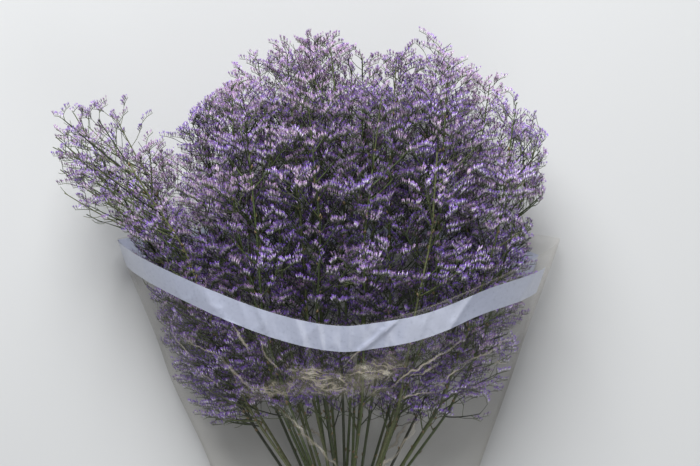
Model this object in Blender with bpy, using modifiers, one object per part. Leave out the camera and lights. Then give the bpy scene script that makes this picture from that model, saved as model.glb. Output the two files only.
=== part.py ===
"""A bunch of dried statice in its clear film sleeve, laid on its back on a flat surface.

Metres, +Z up. +Y runs from the cut stem ends to the flower heads, +X is to the right for someone who
looks down on the bunch with the heads away from them. The origin is on the underside of the sleeve,
where the film lies flat on the surface.
"""

import math
import random
from dataclasses import dataclass, field

import bmesh
import bpy
import numpy as np
from mathutils import Matrix, Vector

# The bunch along Y
CUT_END_Y = -0.286
TIE_Y = -0.222
FIRST_FLOWERS_Y = -0.055
HEAD_TOP_Y = 0.318

# The bunch across: rows of stems as (height above the middle row, stems, spacing), at full spread,
# and how much lower the stems end at the sides and at the top and bottom of the bunch
STEM_ROWS = (
    (-0.084, 4, 0.060),
    (-0.042, 7, 0.054),
    (0.000, 8, 0.053),
    (0.042, 7, 0.054),
    (0.084, 4, 0.060),
)
HALF_WIDTH = 0.1855
HALF_HEIGHT = 0.084
TIP_SPRAY = 0.046
SIDE_DROP = 0.070
EDGE_DROP = 0.050
INNER_FLOWERS = 0.110
MIDDLE_RISE = 0.1155
FLOOR_GAP = 0.0012

# How the stems open from the tie, as shares of the full spread and shares per metre
TIE_SPREAD = 0.096
SPREAD_ABOVE_TIE = 4.0
SPREAD_BELOW_TIE = 1.2
MOST_SPREAD = 1.12

# Free growth: how far a stem strays from its even place, and the branch that leans out on the left
STRAY = 0.009
SWAY = 0.006
SWAY_TURNS = 24.0
WING_REACH = 0.075
WING_START_Y = 0.05
WING_LENGTH = 0.19

# Stems and their flowering branches
STEM_RADIUS = 0.0018
STEM_TIP_RADIUS = 0.0009
BENDS_BY_TIE = (-0.006, 0.006, 0.030, 0.070)
POINTS_ABOVE_BENDS = 5
BRANCH_STEP = 0.037
BRANCH_LENGTH = 0.080
TOP_BRANCH_LENGTH = 0.056
STALK_SHARE = 0.36
OPENING = math.radians(62)
OPENING_AT_TOP = math.radians(46)
UPTURN = 0.30
FAN = 0.62
TIP_BEND = 0.06
SPIKE_REACH = 0.0142
NODE_GAP = 0.0008
TRIES = 28

# One flower spike: places along it, each with its radius, and the florets raised on its faces
STALK_RADIUS = 0.0010
SPIKE_SECTIONS = ((0.00, 0.0012), (0.30, 0.0054), (0.72, 0.0044))
FLORET_HEIGHT = 0.0104
FLORET_LEAN = 0.0030
SLIVER = 0.000002

# The film sleeve
SLEEVE_FOOT_Y = -0.176
SLEEVE_CORNER_Y = 0.118
FRONT_EDGE_DIP = 0.088
BACK_EDGE_RISE = 0.022
SLEEVE_HALF_WIDTH = 0.193
SLEEVE_TAPER = 0.325
SLEEVE_SIDE_POWER = 4
SLEEVE_TOP_POWER = 0.6
FRONT_EDGE_POWER = 1.7
SLEEVE_CLEARANCE = 0.044
FILM = 0.0007
FILM_GAP = 0.0004
SLEEVE_ROWS = 8
FRONT_PANELS = 14
BACK_PANELS = 6

# The rubber band round the stems
BAND_WIDTH = 0.008
BAND_THICKNESS = 0.0014
BAND_GAP = 0.0003
BAND_POINTS = 30

SEED = 16
GOLDEN_TURN = math.pi * (3 - math.sqrt(5))

SPRAY_COLOUR = (0.30, 0.22, 0.42, 1.0)
FILM_COLOUR = (0.86, 0.88, 0.90, 0.30)
RUBBER_COLOUR = (0.55, 0.38, 0.20, 1.0)


@dataclass
class Stem:
    """One cut stem: its line from the cut end to the tip, and the branches that grow on it."""

    line: np.ndarray
    flowers_y: float
    outward: Vector
    branches: list = field(default_factory=list)

    @property
    def tip_y(self):
        return self.line[-1, 1]

    def point(self, y):
        """Where the middle of the stem is at y."""
        x, z = (np.interp(y, self.line[:, 1], self.line[:, axis]) for axis in (0, 2))
        return Vector((x, y, z))

    def direction(self, y):
        """Unit vector along the stem towards its tip."""
        low = min(y, self.tip_y - 0.004)
        return (self.point(low + 0.004) - self.point(low - 0.004)).normalized()


@dataclass
class Branch:
    """A side branch: root on the stem, neck where the bare stalk ends, and the tip of its flowers."""

    root: Vector
    neck: Vector
    tip: Vector
    turn: float
    size: float


def ease(t):
    """0 to 1 with level ends."""
    t = min(1.0, max(0.0, t))
    return t * t * (3 - 2 * t)


def spread(y):
    """Width of the bunch at y, as a share of its full width."""
    opening = SPREAD_ABOVE_TIE if y > TIE_Y else SPREAD_BELOW_TIE
    width = math.hypot(TIE_SPREAD, opening * (y - TIE_Y))
    return width / (1 + (width / MOST_SPREAD) ** 3) ** (1 / 3)


def stem_line(across, height, stray, phase, cut_y, tip_y):
    """Points along one stem. All stems open alike from the tie, so they keep their order."""
    bends = [TIE_Y + offset for offset in BENDS_BY_TIE]
    rest = np.linspace(bends[-1], tip_y, POINTS_ABOVE_BENDS)[1:]
    points = []
    for y in (cut_y, *bends, *rest):
        share = spread(y)
        free = share - TIE_SPREAD
        lean = ease((-across / HALF_WIDTH - 0.6) / 0.4) * ease((y - WING_START_Y) / WING_LENGTH)
        sway = SWAY * math.sin(phase + SWAY_TURNS * y)
        x = across * share + (stray[0] + sway) * free - WING_REACH * lean
        z = FLOOR_GAP + (MIDDLE_RISE + height) * share + stray[1] * free
        points.append((x, y, z))
    return np.array(points)


def lay_out_stems(rng):
    """The stems of the bunch in staggered rows."""
    stems = []
    for height, count, spacing in STEM_ROWS:
        for place in range(count):
            across = (place - (count - 1) / 2) * spacing
            side = across / HALF_WIDTH
            rise = height / HALF_HEIGHT
            stray = (rng.uniform(-STRAY, STRAY), rng.uniform(-STRAY, STRAY) * 0.6)
            phase = rng.uniform(0, math.tau)
            cut_y = CUT_END_Y + rng.uniform(0, 0.010)
            dome = SIDE_DROP * abs(side) ** 3 + EDGE_DROP * rise**2
            tip_y = HEAD_TOP_Y - TIP_SPRAY - dome + rng.uniform(-0.022, 0.020)
            inner_start = tip_y - INNER_FLOWERS
            outer = ease((math.hypot(side, rise) - 0.35) / 0.45)
            stems.append(
                Stem(
                    line=stem_line(across, height, stray, phase, cut_y, tip_y),
                    flowers_y=inner_start + (FIRST_FLOWERS_Y - inner_start) * outer,
                    outward=Vector((side / HALF_WIDTH, 0, rise / HALF_HEIGHT + 0.001)).normalized(),
                )
            )
    return stems


def sleeve_half_width(y):
    """Half the width of the film sleeve at y."""
    return SLEEVE_HALF_WIDTH + SLEEVE_TAPER * y


def sleeve_top(side, y):
    """Height of the outside of the front film, with side from -1 to 1 across the sleeve."""
    middle = FLOOR_GAP + (MIDDLE_RISE + HALF_HEIGHT + SLEEVE_CLEARANCE) * spread(y)
    return middle * (1 - min(1.0, abs(side)) ** SLEEVE_SIDE_POWER) ** SLEEVE_TOP_POWER


def front_edge(side):
    """Where the front film ends, from -1 at one side of the sleeve to 1 at the other."""
    return SLEEVE_CORNER_Y - FRONT_EDGE_DIP * (1 - abs(side) ** FRONT_EDGE_POWER)


def back_edge(side):
    """Where the back film ends."""
    return SLEEVE_CORNER_Y + BACK_EDGE_RISE * (1 - side**2)


def clear_of_film(point, radius):
    """Whether a ball lies above the surface and clear of the film all round it."""
    inner = radius + FILM + FILM_GAP
    if point.z < inner:
        return False
    side = max(-1.0, min(1.0, point.x / sleeve_half_width(point.y)))
    if point.y - inner > front_edge(side):
        return True
    for step in range(9):
        angle = math.pi * step / 8
        x = point.x + inner * math.cos(angle)
        z = point.z + inner * math.sin(angle)
        if z > sleeve_top(x / sleeve_half_width(point.y), point.y):
            return False
    return True


def stem_balls(stem):
    """Balls along a stem, as rows of x, y, z, radius, that the other stems' branches keep clear of."""
    places = np.arange(TIE_Y, stem.tip_y + 0.004, 0.005)
    return np.array([(*stem.point(y), STEM_RADIUS) for y in places])


def branch_balls(branch):
    """Balls along a branch: small on its stalk, wide on its flowers."""
    stalk = [(*branch.root.lerp(branch.neck, t / 8), 2 * STALK_RADIUS) for t in range(1, 9)]
    reach = SPIKE_REACH * branch.size
    flowers = [(*branch.neck.lerp(branch.tip, t), reach) for t in (0.25, 0.45, 0.65, 0.85)]
    return np.array([*stalk, *flowers])


def has_room(balls, others):
    """Whether no ball comes near the balls of the other stems."""
    apart = np.linalg.norm(balls[:, None, :3] - others[None, :, :3], axis=2)
    return bool((apart > balls[:, None, 3] + others[None, :, 3] + NODE_GAP).all())


def top_branch(stem, attempt, rng):
    """The flowers at a stem's own tip. Later attempts bend aside."""
    root = stem.point(stem.tip_y)
    bend = Vector((rng.uniform(-1, 1), 0, rng.uniform(-1, 1))) * TIP_BEND * attempt
    heading = (stem.direction(stem.tip_y) + bend).normalized()
    tip = root + heading * TOP_BRANCH_LENGTH
    return Branch(root - heading * STEM_RADIUS, root.lerp(tip, 0.12), tip, rng.uniform(0, math.tau), 1.0)


def side_branch(stem, share, place, attempt, rng):
    """A branch at a share of the flowering length. Later attempts are shorter and turn further aside."""
    y = stem.flowers_y + (stem.tip_y - stem.flowers_y) * share
    root = stem.point(y)
    along = stem.direction(y)
    outward = (stem.outward - along * stem.outward.dot(along)).normalized()
    aside = along.cross(outward)
    freedom = FAN + (1 - FAN) * ease((share - 0.6) / 0.4)
    fan = ((place * GOLDEN_TURN / math.tau + 0.5) % 1.0 - 0.5) * 2
    azimuth = math.pi * fan * freedom + rng.uniform(-0.25, 0.25) * (1 + attempt * 0.7)
    opening = (OPENING + (OPENING_AT_TOP - OPENING) * share) * rng.uniform(0.85, 1.1)
    spoke = outward * math.cos(azimuth) + aside * math.sin(azimuth)
    heading = along * math.cos(opening) + spoke * math.sin(opening)
    full = BRANCH_LENGTH + (TOP_BRANCH_LENGTH - BRANCH_LENGTH) * share
    length = full * (1 - 0.018 * attempt) * rng.uniform(0.9, 1.1)
    neck = root + heading * length * STALK_SHARE
    upturn = (heading + along * UPTURN).normalized()
    tip = neck + upturn * length * (1 - STALK_SHARE)
    return Branch(root, neck, tip, rng.uniform(0, math.tau), rng.uniform(0.88, 1.08))


def grow_branches(stems, rng):
    """Gives each stem its branches in turn, and keeps each one clear of the film and the other stems."""
    balls = [stem_balls(stem) for stem in stems]
    counts = [1 + round((stem.tip_y - stem.flowers_y) / BRANCH_STEP) for stem in stems]
    for rank in range(max(counts)):
        for index, stem in enumerate(stems):
            place = counts[index] - 1 - rank
            if place < 0:
                continue
            others = np.concatenate([each for i, each in enumerate(balls) if i != index])
            for attempt in range(TRIES):
                if rank == 0:
                    branch = top_branch(stem, attempt, rng)
                else:
                    branch = side_branch(stem, place / (counts[index] - 1), place, attempt, rng)
                around = branch_balls(branch)
                in_film = all(clear_of_film(Vector(ball[:3]), ball[3]) for ball in around)
                if in_film and has_room(around, others):
                    stem.branches.append(branch)
                    balls[index] = np.concatenate([balls[index], around])
                    break


def material(name, colour, roughness):
    """A plain Principled material, see-through where its colour's last number is under 1."""
    made = bpy.data.materials.new(name)
    made.use_nodes = True
    shader = made.node_tree.nodes["Principled BSDF"]
    shader.inputs["Base Color"].default_value = colour
    shader.inputs["Roughness"].default_value = roughness
    shader.inputs["Metallic"].default_value = 0.0
    shader.inputs["Alpha"].default_value = colour[3]
    made.diffuse_color = colour
    return made


def mesh_object(name, shell, collection):
    """Turns a bmesh into a named object in a collection."""
    mesh = bpy.data.meshes.new(name)
    shell.to_mesh(mesh)
    shell.free()
    made = bpy.data.objects.new(name, mesh)
    collection.objects.link(made)
    return made


def stem_object(name, stem, collection):
    """The stem itself: a four-sided wire that thins towards its tip."""
    curve = bpy.data.curves.new(name, "CURVE")
    curve.dimensions = "3D"
    curve.bevel_depth = STEM_RADIUS
    curve.bevel_resolution = 0
    curve.use_fill_caps = True
    spline = curve.splines.new("POLY")
    spline.points.add(len(stem.line) - 1)
    for rank, point in enumerate(spline.points):
        share = rank / (len(stem.line) - 1)
        point.co = (*stem.line[rank], 1.0)
        point.radius = 1 + (STEM_TIP_RADIUS / STEM_RADIUS - 1) * share
    wire = bpy.data.objects.new(name + "_wire", curve)
    collection.objects.link(wire)
    graph = bpy.context.evaluated_depsgraph_get()
    shell = bmesh.new()
    shell.from_mesh(bpy.data.meshes.new_from_object(wire.evaluated_get(graph)))
    bmesh.ops.remove_doubles(shell, verts=shell.verts, dist=0.00001)
    made = mesh_object(name, shell, collection)
    made.matrix_world = wire.matrix_world
    bpy.data.objects.remove(wire)
    return made


def ring_place(middle, heading, turn, radius):
    """Matrix that sets a unit ring round a branch's line, square to its heading."""
    facing = heading.to_track_quat("Z", "Y").to_matrix().to_4x4()
    return Matrix.Translation(middle) @ facing @ Matrix.Rotation(turn, 4, "Z") @ Matrix.Scale(radius, 4)


def branch_shell(branch):
    """A three-sided stalk that swells into a flower spike, with a floret raised on each of its faces."""
    spike = branch.tip - branch.neck
    heading = spike.normalized()
    shell = bmesh.new()
    place = ring_place(branch.root, (branch.neck - branch.root).normalized(), branch.turn, STALK_RADIUS)
    bmesh.ops.create_circle(shell, cap_ends=True, segments=3, radius=1.0, matrix=place)
    shell.faces.ensure_lookup_table()
    end = shell.faces[0]
    for rank, (share, radius) in enumerate((*SPIKE_SECTIONS, (1.0, STALK_RADIUS))):
        grown = bmesh.ops.extrude_face_region(shell, geom=[end])["geom"]
        if rank > 0:
            bmesh.ops.delete(shell, geom=[end], context="FACES_ONLY")
        end = next(item for item in grown if isinstance(item, bmesh.types.BMFace))
        turn = branch.turn + rank * math.pi / 3
        target = ring_place(branch.neck + spike * share, heading, turn, radius * branch.size)
        bmesh.ops.transform(shell, matrix=target @ place.inverted(), verts=end.verts)
        place = target
    bmesh.ops.pointmerge(shell, verts=end.verts, merge_co=branch.tip)
    bmesh.ops.triangulate(shell, faces=shell.faces, quad_method="SHORT_EDGE")
    bmesh.ops.recalc_face_normals(shell, faces=shell.faces)
    bearing = [face for face in shell.faces if heading.dot(face.calc_center_median() - branch.neck) > 0]
    florets = bmesh.ops.poke(shell, faces=bearing, offset=FLORET_HEIGHT * branch.size)["verts"]
    bmesh.ops.translate(shell, vec=heading * FLORET_LEAN, verts=florets)
    return shell


def statice_stem(name, stem, finish, collection):
    """One cut stem with all its flowering branches, joined in one body."""
    made = stem_object(name, stem, collection)
    growth = bpy.data.collections.new(name + "_growth")
    bpy.context.scene.collection.children.link(growth)
    for rank, branch in enumerate(stem.branches):
        mesh_object(f"{name}_branch_{rank}", branch_shell(branch), growth)
    join = made.modifiers.new("Join branches", "BOOLEAN")
    join.operation = "UNION"
    join.operand_type = "COLLECTION"
    join.collection = growth
    join.solver = "EXACT"
    graph = bpy.context.evaluated_depsgraph_get()
    shell = bmesh.new()
    shell.from_mesh(bpy.data.meshes.new_from_object(made.evaluated_get(graph)))
    bmesh.ops.remove_doubles(shell, verts=shell.verts, dist=SLIVER)
    made.modifiers.clear()
    shell.to_mesh(made.data)
    shell.free()
    for piece in list(growth.objects):
        bpy.data.objects.remove(piece)
    bpy.data.collections.remove(growth)
    made.data.materials.clear()
    made.data.materials.append(finish)
    return made


def sleeve_point(along, round_share):
    """A point on the outside of the film: along it from 0 to 1, and once round it from 0 to 1."""
    front = FRONT_PANELS / (FRONT_PANELS + BACK_PANELS)
    if round_share < front:
        side = -math.cos(math.pi * round_share / front)
        edge = front_edge(side)
    else:
        side = 1 - 2 * (round_share - front) / (1 - front)
        edge = back_edge(side)
    y = SLEEVE_FOOT_Y + (edge - SLEEVE_FOOT_Y) * along
    z = sleeve_top(side, y) if round_share < front else 0.0
    return Vector((side * sleeve_half_width(y), y, z))


def film_sleeve(finish, collection):
    """The clear film sleeve: open at both ends, flat beneath, cut lower in front than at the back."""
    shell = bmesh.new()
    panels = FRONT_PANELS + BACK_PANELS
    bmesh.ops.create_grid(shell, x_segments=panels, y_segments=SLEEVE_ROWS, size=0.5)
    for vert in shell.verts:
        vert.co = sleeve_point(vert.co.y + 0.5, min(vert.co.x + 0.5, 1.0))
    bmesh.ops.remove_doubles(shell, verts=shell.verts, dist=0.00001)
    bmesh.ops.recalc_face_normals(shell, faces=shell.faces)
    made = mesh_object("film_sleeve", shell, collection)
    wall = made.modifiers.new("Film", "SOLIDIFY")
    wall.thickness = FILM
    wall.offset = -1.0
    made.data.materials.append(finish)
    made.data.shade_smooth()
    return made


def band_outline(stems):
    """The line round all stems at the tie, a gap away from them."""
    edges = (TIE_Y - BAND_WIDTH / 2, TIE_Y + BAND_WIDTH / 2)
    middles = [Vector((stem.point(y).x, stem.point(y).z)) for stem in stems for y in edges]
    outline = []
    for step in range(BAND_POINTS):
        angle = math.tau * step / BAND_POINTS
        facing = Vector((math.cos(angle), math.sin(angle)))
        furthest = max(middles, key=facing.dot)
        outline.append(furthest + facing * (STEM_RADIUS + BAND_GAP))
    return outline


def rubber_band(stems, finish, collection):
    """The rubber band that ties the stems above their cut ends."""
    outline = band_outline(stems)
    shell = bmesh.new()
    ring = bmesh.ops.create_circle(shell, segments=BAND_POINTS)["verts"]
    for vert, corner in zip(ring, outline):
        vert.co = (corner.x, TIE_Y - BAND_WIDTH / 2, corner.y)
    grown = bmesh.ops.extrude_edge_only(shell, edges=shell.edges)["geom"]
    far_edge = [item for item in grown if isinstance(item, bmesh.types.BMVert)]
    bmesh.ops.translate(shell, vec=(0, BAND_WIDTH, 0), verts=far_edge)
    bmesh.ops.recalc_face_normals(shell, faces=shell.faces)
    made = mesh_object("rubber_band", shell, collection)
    wall = made.modifiers.new("Rubber", "SOLIDIFY")
    wall.thickness = BAND_THICKNESS
    wall.offset = 1.0
    made.data.materials.append(finish)
    made.data.shade_smooth()
    return made


def main():
    for old in list(bpy.data.objects):
        bpy.data.objects.remove(old)
    parts = bpy.data.collections.new("dried_statice")
    bpy.context.scene.collection.children.link(parts)
    rng = random.Random(SEED)
    stems = lay_out_stems(rng)
    grow_branches(stems, rng)
    spray = material("dusty violet spray", SPRAY_COLOUR, 0.85)
    for rank, stem in enumerate(stems, start=1):
        statice_stem(f"statice_stem_{rank:02d}", stem, spray, parts)
    film_sleeve(material("clear film", FILM_COLOUR, 0.15), parts)
    rubber_band(stems, material("rubber", RUBBER_COLOUR, 0.7), parts)


main()
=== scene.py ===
"""The looks of a bunch of dried statice in its clear film sleeve, laid on its back.

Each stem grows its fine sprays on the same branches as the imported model: branchlets, one-sided spikes
and papery florets. The film is one thin creased sheet with a plain pale band near its front edge.
Metres, +Z up, +Y towards the flower heads.
"""

import math
import random
from dataclasses import dataclass, field

import bpy
import numpy as np
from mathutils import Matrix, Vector
from mathutils import noise as solid_noise


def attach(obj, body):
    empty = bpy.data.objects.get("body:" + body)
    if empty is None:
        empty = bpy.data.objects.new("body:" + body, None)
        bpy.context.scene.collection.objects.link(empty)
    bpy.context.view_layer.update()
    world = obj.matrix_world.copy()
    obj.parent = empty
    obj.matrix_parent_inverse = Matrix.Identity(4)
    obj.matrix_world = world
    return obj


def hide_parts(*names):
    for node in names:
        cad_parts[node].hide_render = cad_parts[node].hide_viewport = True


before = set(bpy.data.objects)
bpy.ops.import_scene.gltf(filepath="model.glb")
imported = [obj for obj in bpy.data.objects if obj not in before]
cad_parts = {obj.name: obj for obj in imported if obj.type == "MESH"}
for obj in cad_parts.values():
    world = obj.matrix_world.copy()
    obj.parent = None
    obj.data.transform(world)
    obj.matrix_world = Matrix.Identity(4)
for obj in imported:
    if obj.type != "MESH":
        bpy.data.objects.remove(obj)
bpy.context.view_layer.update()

# The bunch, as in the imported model
CUT_END_Y = -0.286
TIE_Y = -0.222
FIRST_FLOWERS_Y = -0.055
HEAD_TOP_Y = 0.318
STEM_ROWS = (
    (-0.084, 4, 0.060),
    (-0.042, 7, 0.054),
    (0.000, 8, 0.053),
    (0.042, 7, 0.054),
    (0.084, 4, 0.060),
)
HALF_WIDTH = 0.1855
HALF_HEIGHT = 0.084
TIP_SPRAY = 0.046
SIDE_DROP = 0.070
EDGE_DROP = 0.050
INNER_FLOWERS = 0.110
MIDDLE_RISE = 0.1155
FLOOR_GAP = 0.0012
TIE_SPREAD = 0.096
SPREAD_ABOVE_TIE = 4.0
SPREAD_BELOW_TIE = 1.2
MOST_SPREAD = 1.12
STRAY = 0.009
SWAY = 0.006
SWAY_TURNS = 24.0
WING_REACH = 0.075
WING_START_Y = 0.05
WING_LENGTH = 0.19
STEM_RADIUS = 0.0018
STEM_TIP_RADIUS = 0.0009
BENDS_BY_TIE = (-0.006, 0.006, 0.030, 0.070)
POINTS_ABOVE_BENDS = 5
BRANCH_STEP = 0.037
BRANCH_LENGTH = 0.080
TOP_BRANCH_LENGTH = 0.056
STALK_SHARE = 0.36
OPENING = math.radians(62)
OPENING_AT_TOP = math.radians(46)
UPTURN = 0.30
FAN = 0.62
TIP_BEND = 0.06
SPIKE_REACH = 0.0142
NODE_GAP = 0.0008
TRIES = 28
STALK_RADIUS = 0.0010
SEED = 16
GOLDEN_TURN = math.pi * (3 - math.sqrt(5))

# The sleeve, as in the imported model
SLEEVE_FOOT_Y = -0.176
SLEEVE_CORNER_Y = 0.118
FRONT_EDGE_DIP = 0.088
BACK_EDGE_RISE = 0.022
SLEEVE_HALF_WIDTH = 0.193
SLEEVE_TAPER = 0.325
SLEEVE_SIDE_POWER = 4
SLEEVE_TOP_POWER = 0.6
FRONT_EDGE_POWER = 1.7
SLEEVE_CLEARANCE = 0.044
FILM = 0.0007
FILM_GAP = 0.0004

# Fine growth of one branch: branchlets on its axis, spikes on each branchlet, florets on each spike
AXIS_POINTS = 7
BRANCHLETS = 12
WING_BRANCHLETS = 6
FIRST_BRANCHLET = 0.40
LAST_BRANCHLET = 0.97
BRANCHLET_LENGTH = 0.036
BRANCHLET_RADII = (0.00042, 0.0003)
SPIKE_PLACES = (0.62, 1.0, 1.0)
SPIKE_LENGTH = 0.0142
SPIKE_RADII = (0.0004, 0.0003)
SPIKE_FLATNESS = 0.75
FLORETS = 7
FLORET_LENGTH = 0.0060
CALYX_SHARE = 0.62
CALYX_RADIUS = 0.00078
PETAL_RADIUS = 0.00112
BRACT_LENGTH = 0.0050
BRACT_WIDTH = 0.0019
BRACT_STEP = 0.045
STEM_POINTS = 46
FINE_SEED = 5

# Twigs between the branches. The stems at the left crowd theirs together, to that side.
TWIG_START = 0.036
TWIG_STEP = 0.0165
TWIG_LENGTH = 0.044
TWIG_BRANCHLETS = 4
TWIG_SIZE = 0.85
CROWDED_STEP = 0.58

# The outline of the flower head from above: a rounded box, trimmed on the right and at the upper left.
# HEAD_DEPTH is its reach towards the stems. Each stem keeps to a share of its length, for an uneven top.
HEAD_MIDDLE = (0.004, 0.120, 0.118)
HEAD_REACH = (0.216, 0.226, 0.150)
HEAD_DEPTH = 0.270
HEAD_POWER = 2.8
STEM_REACHES = (0.85, 0.89, 0.95, 1.00, 1.04)
RIGHT_TRIM = 0.022
RIGHT_TRIM_Y = (0.125, 0.045)
LEFT_TRIM = 0.030
LEFT_TRIM_Y = (0.285, 0.055)
TRIMMED_X = 0.1

# The wing on the left of the head: ellipses with their middles and half sizes. Left of WING_X it is airy:
# it has fewer branchlets, some spikes are left out, and above WING_Y so are some twigs.
WINGS = (
    ((-0.248, 0.203), (0.060, 0.071)),
    ((-0.224, 0.142), (0.048, 0.026)),
    ((-0.190, 0.045), (0.062, 0.100)),
)
WING_X = -0.212
WING_Y = 0.165
WING_TWIGS_KEPT = 0.85
WING_SPIKES_KEPT = 0.50
# Florets left of the first value get their tone scaled by the second: painted shade of the dense left side
SHADED_LEFT_X = -0.14
SHADED_LEFT = 0.80

# Growth that the film presses in further than this is left out. Above its edge the pressing fades.
PRESS_MOST = 0.0075
PRESS_FADE = 0.014

# Only some spikes are kept within INNER_SHARE of the head's middle, and in the gaps between its clumps
INNER_SHARE = 0.60
INNER_KEPT = 0.50
GAP_FREQUENCY = 24.0
GAP_LEVEL = -0.12
GAP_KEPT = 0.22
GAP_X = -0.12

# The shares of its length that are tried for growth that doesn't fit
SHORTER = (1.0, 0.88, 0.76, 0.64, 0.5, 0.4)

# The rubber band
BAND_WIDTH = 0.008
BAND_GAP = 0.0003
BAND_CORD = 0.0009
BAND_TURNS = 3
BAND_STEPS = 48

# The film sheet. FILM_ROWS are its rows of faces below the band, on the band and above it.
FRONT_COLUMNS = 240
BACK_COLUMNS = 80
FILM_ROWS = (70, 12, 6)
BAND_HEIGHT = 0.0272
BAND_END = 0.94
FILM_SKIN = 0.0022
BACK_LIFT = 0.0006
SIDE_EASES = (0.013, 0.003)
CORNER_FLARES = (0.006, 0.003)
CORNER_LIFTS = (0.022, 0.010)
FOLD_CENTRE_Y = -0.20

# The film's folds: where each starts and ends, how high it stands and how wide it is
FOLDS = (
    ((-0.173, 0.016), (-0.124, -0.009), 0.0030, 0.0045),
    ((-0.131, -0.002), (-0.095, -0.044), 0.0036, 0.0055),
    ((-0.117, 0.030), (-0.096, 0.000), 0.0030, 0.0045),
    ((-0.091, 0.018), (-0.067, -0.023), 0.0028, 0.0040),
    ((0.056, 0.037), (-0.009, -0.019), 0.0024, 0.0035),
    ((0.028, -0.048), (0.129, 0.018), 0.0040, 0.0050),
    ((0.088, -0.040), (0.131, -0.006), 0.0030, 0.0040),
    ((0.118, -0.012), (0.165, 0.004), 0.0034, 0.0045),
    ((0.143, -0.025), (0.185, -0.006), 0.0024, 0.0030),
    ((0.062, -0.030), (0.100, -0.012), 0.0020, 0.0030),
    ((0.150, 0.004), (0.190, 0.022), 0.0020, 0.0030),
    ((-0.186, 0.020), (-0.160, -0.010), 0.0022, 0.0030),
    ((-0.160, -0.014), (-0.126, -0.040), 0.0022, 0.0032),
    ((0.040, -0.052), (0.110, -0.038), 0.0022, 0.0030),
    ((0.010, -0.150), (-0.080, -0.045), 0.0040, 0.0060),
    ((0.015, -0.160), (0.090, -0.060), 0.0040, 0.0060),
)
CREASE_SHARE = 0.42

# The crumpled patch: its relief, its milky strips and how milky its ridges are
CRUMPLE_MIDDLE = (-0.012, -0.030)
CRUMPLE_SIZE = (0.078, 0.020)
CRUMPLES = (
    ((-0.108, -0.043), (-0.020, -0.032), 0.011),
    ((-0.062, -0.016), (0.022, -0.042), 0.016),
    ((-0.020, -0.038), (0.066, -0.008), 0.014),
    ((-0.060, -0.037), (0.046, -0.040), 0.010),
)
CRUMPLE_RIDGES = (
    (0.34, 0.30),
    (0.42, 0.08),
    (0.455, 0.62),
    (0.48, 0.16),
    (0.56, 0.26),
    (0.585, 0.72),
    (0.62, 0.12),
)

# The studio
KEY_POWER = 110.0
FILL_POWER = 12.0
SURROUND = 0.165

# The camera: straight above the bunch, framed as the photograph
PHOTO_WIDTH = 700
PHOTO_HEIGHT = 466
MM_PER_PIXEL = 1.06
MIDDLE_PIXEL_X = 345
ZERO_PIXEL_Y = 350
CAMERA_DISTANCE = 2.5
SENSOR_WIDTH = 36.0
BUNCH_MIDDLE_Z = 0.12


@dataclass
class Stem:
    """One cut stem: its line from the cut end to the tip, and the branches that grow on it."""

    line: np.ndarray
    flowers_y: float
    outward: Vector
    branches: list = field(default_factory=list)

    @property
    def tip_y(self):
        """Where the stem ends, along the bunch."""
        return self.line[-1, 1]

    def point(self, y):
        """Where the middle of the stem is at y."""
        x, z = (np.interp(y, self.line[:, 1], self.line[:, axis]) for axis in (0, 2))
        return Vector((x, y, z))

    def direction(self, y):
        """Unit vector along the stem towards its tip."""
        low = min(y, self.tip_y - 0.004)
        return (self.point(low + 0.004) - self.point(low - 0.004)).normalized()


@dataclass
class Branch:
    """A side branch: root on the stem, neck where the bare stalk ends, and the tip of its flowers."""

    root: Vector
    neck: Vector
    tip: Vector
    turn: float
    size: float


def ease(t):
    """0 to 1 with level ends."""
    t = min(1.0, max(0.0, t))
    return t * t * (3 - 2 * t)


def spread(y):
    """Width of the bunch at y, as a share of its full width."""
    opening = SPREAD_ABOVE_TIE if y > TIE_Y else SPREAD_BELOW_TIE
    width = math.hypot(TIE_SPREAD, opening * (y - TIE_Y))
    return width / (1 + (width / MOST_SPREAD) ** 3) ** (1 / 3)


def stem_line(across, height, stray, phase, cut_y, tip_y):
    """Points along one stem. All stems open alike from the tie, so they keep their order."""
    bends = [TIE_Y + offset for offset in BENDS_BY_TIE]
    rest = np.linspace(bends[-1], tip_y, POINTS_ABOVE_BENDS)[1:]
    points = []
    for y in (cut_y, *bends, *rest):
        share = spread(y)
        free = share - TIE_SPREAD
        lean = ease((-across / HALF_WIDTH - 0.6) / 0.4) * ease((y - WING_START_Y) / WING_LENGTH)
        sway = SWAY * math.sin(phase + SWAY_TURNS * y)
        x = across * share + (stray[0] + sway) * free - WING_REACH * lean
        z = FLOOR_GAP + (MIDDLE_RISE + height) * share + stray[1] * free
        points.append((x, y, z))
    return np.array(points)


def lay_out_stems(rng):
    """The stems of the bunch in staggered rows."""
    stems = []
    for height, count, spacing in STEM_ROWS:
        for place in range(count):
            across = (place - (count - 1) / 2) * spacing
            side = across / HALF_WIDTH
            rise = height / HALF_HEIGHT
            stray = (rng.uniform(-STRAY, STRAY), rng.uniform(-STRAY, STRAY) * 0.6)
            phase = rng.uniform(0, math.tau)
            cut_y = CUT_END_Y + rng.uniform(0, 0.010)
            dome = SIDE_DROP * abs(side) ** 3 + EDGE_DROP * rise**2
            tip_y = HEAD_TOP_Y - TIP_SPRAY - dome + rng.uniform(-0.022, 0.020)
            inner_start = tip_y - INNER_FLOWERS
            outer = ease((math.hypot(side, rise) - 0.35) / 0.45)
            stems.append(
                Stem(
                    line=stem_line(across, height, stray, phase, cut_y, tip_y),
                    flowers_y=inner_start + (FIRST_FLOWERS_Y - inner_start) * outer,
                    outward=Vector((side / HALF_WIDTH, 0, rise / HALF_HEIGHT + 0.001)).normalized(),
                )
            )
    return stems


def sleeve_half_width(y):
    """Half the width of the film sleeve at y."""
    return SLEEVE_HALF_WIDTH + SLEEVE_TAPER * y


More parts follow.
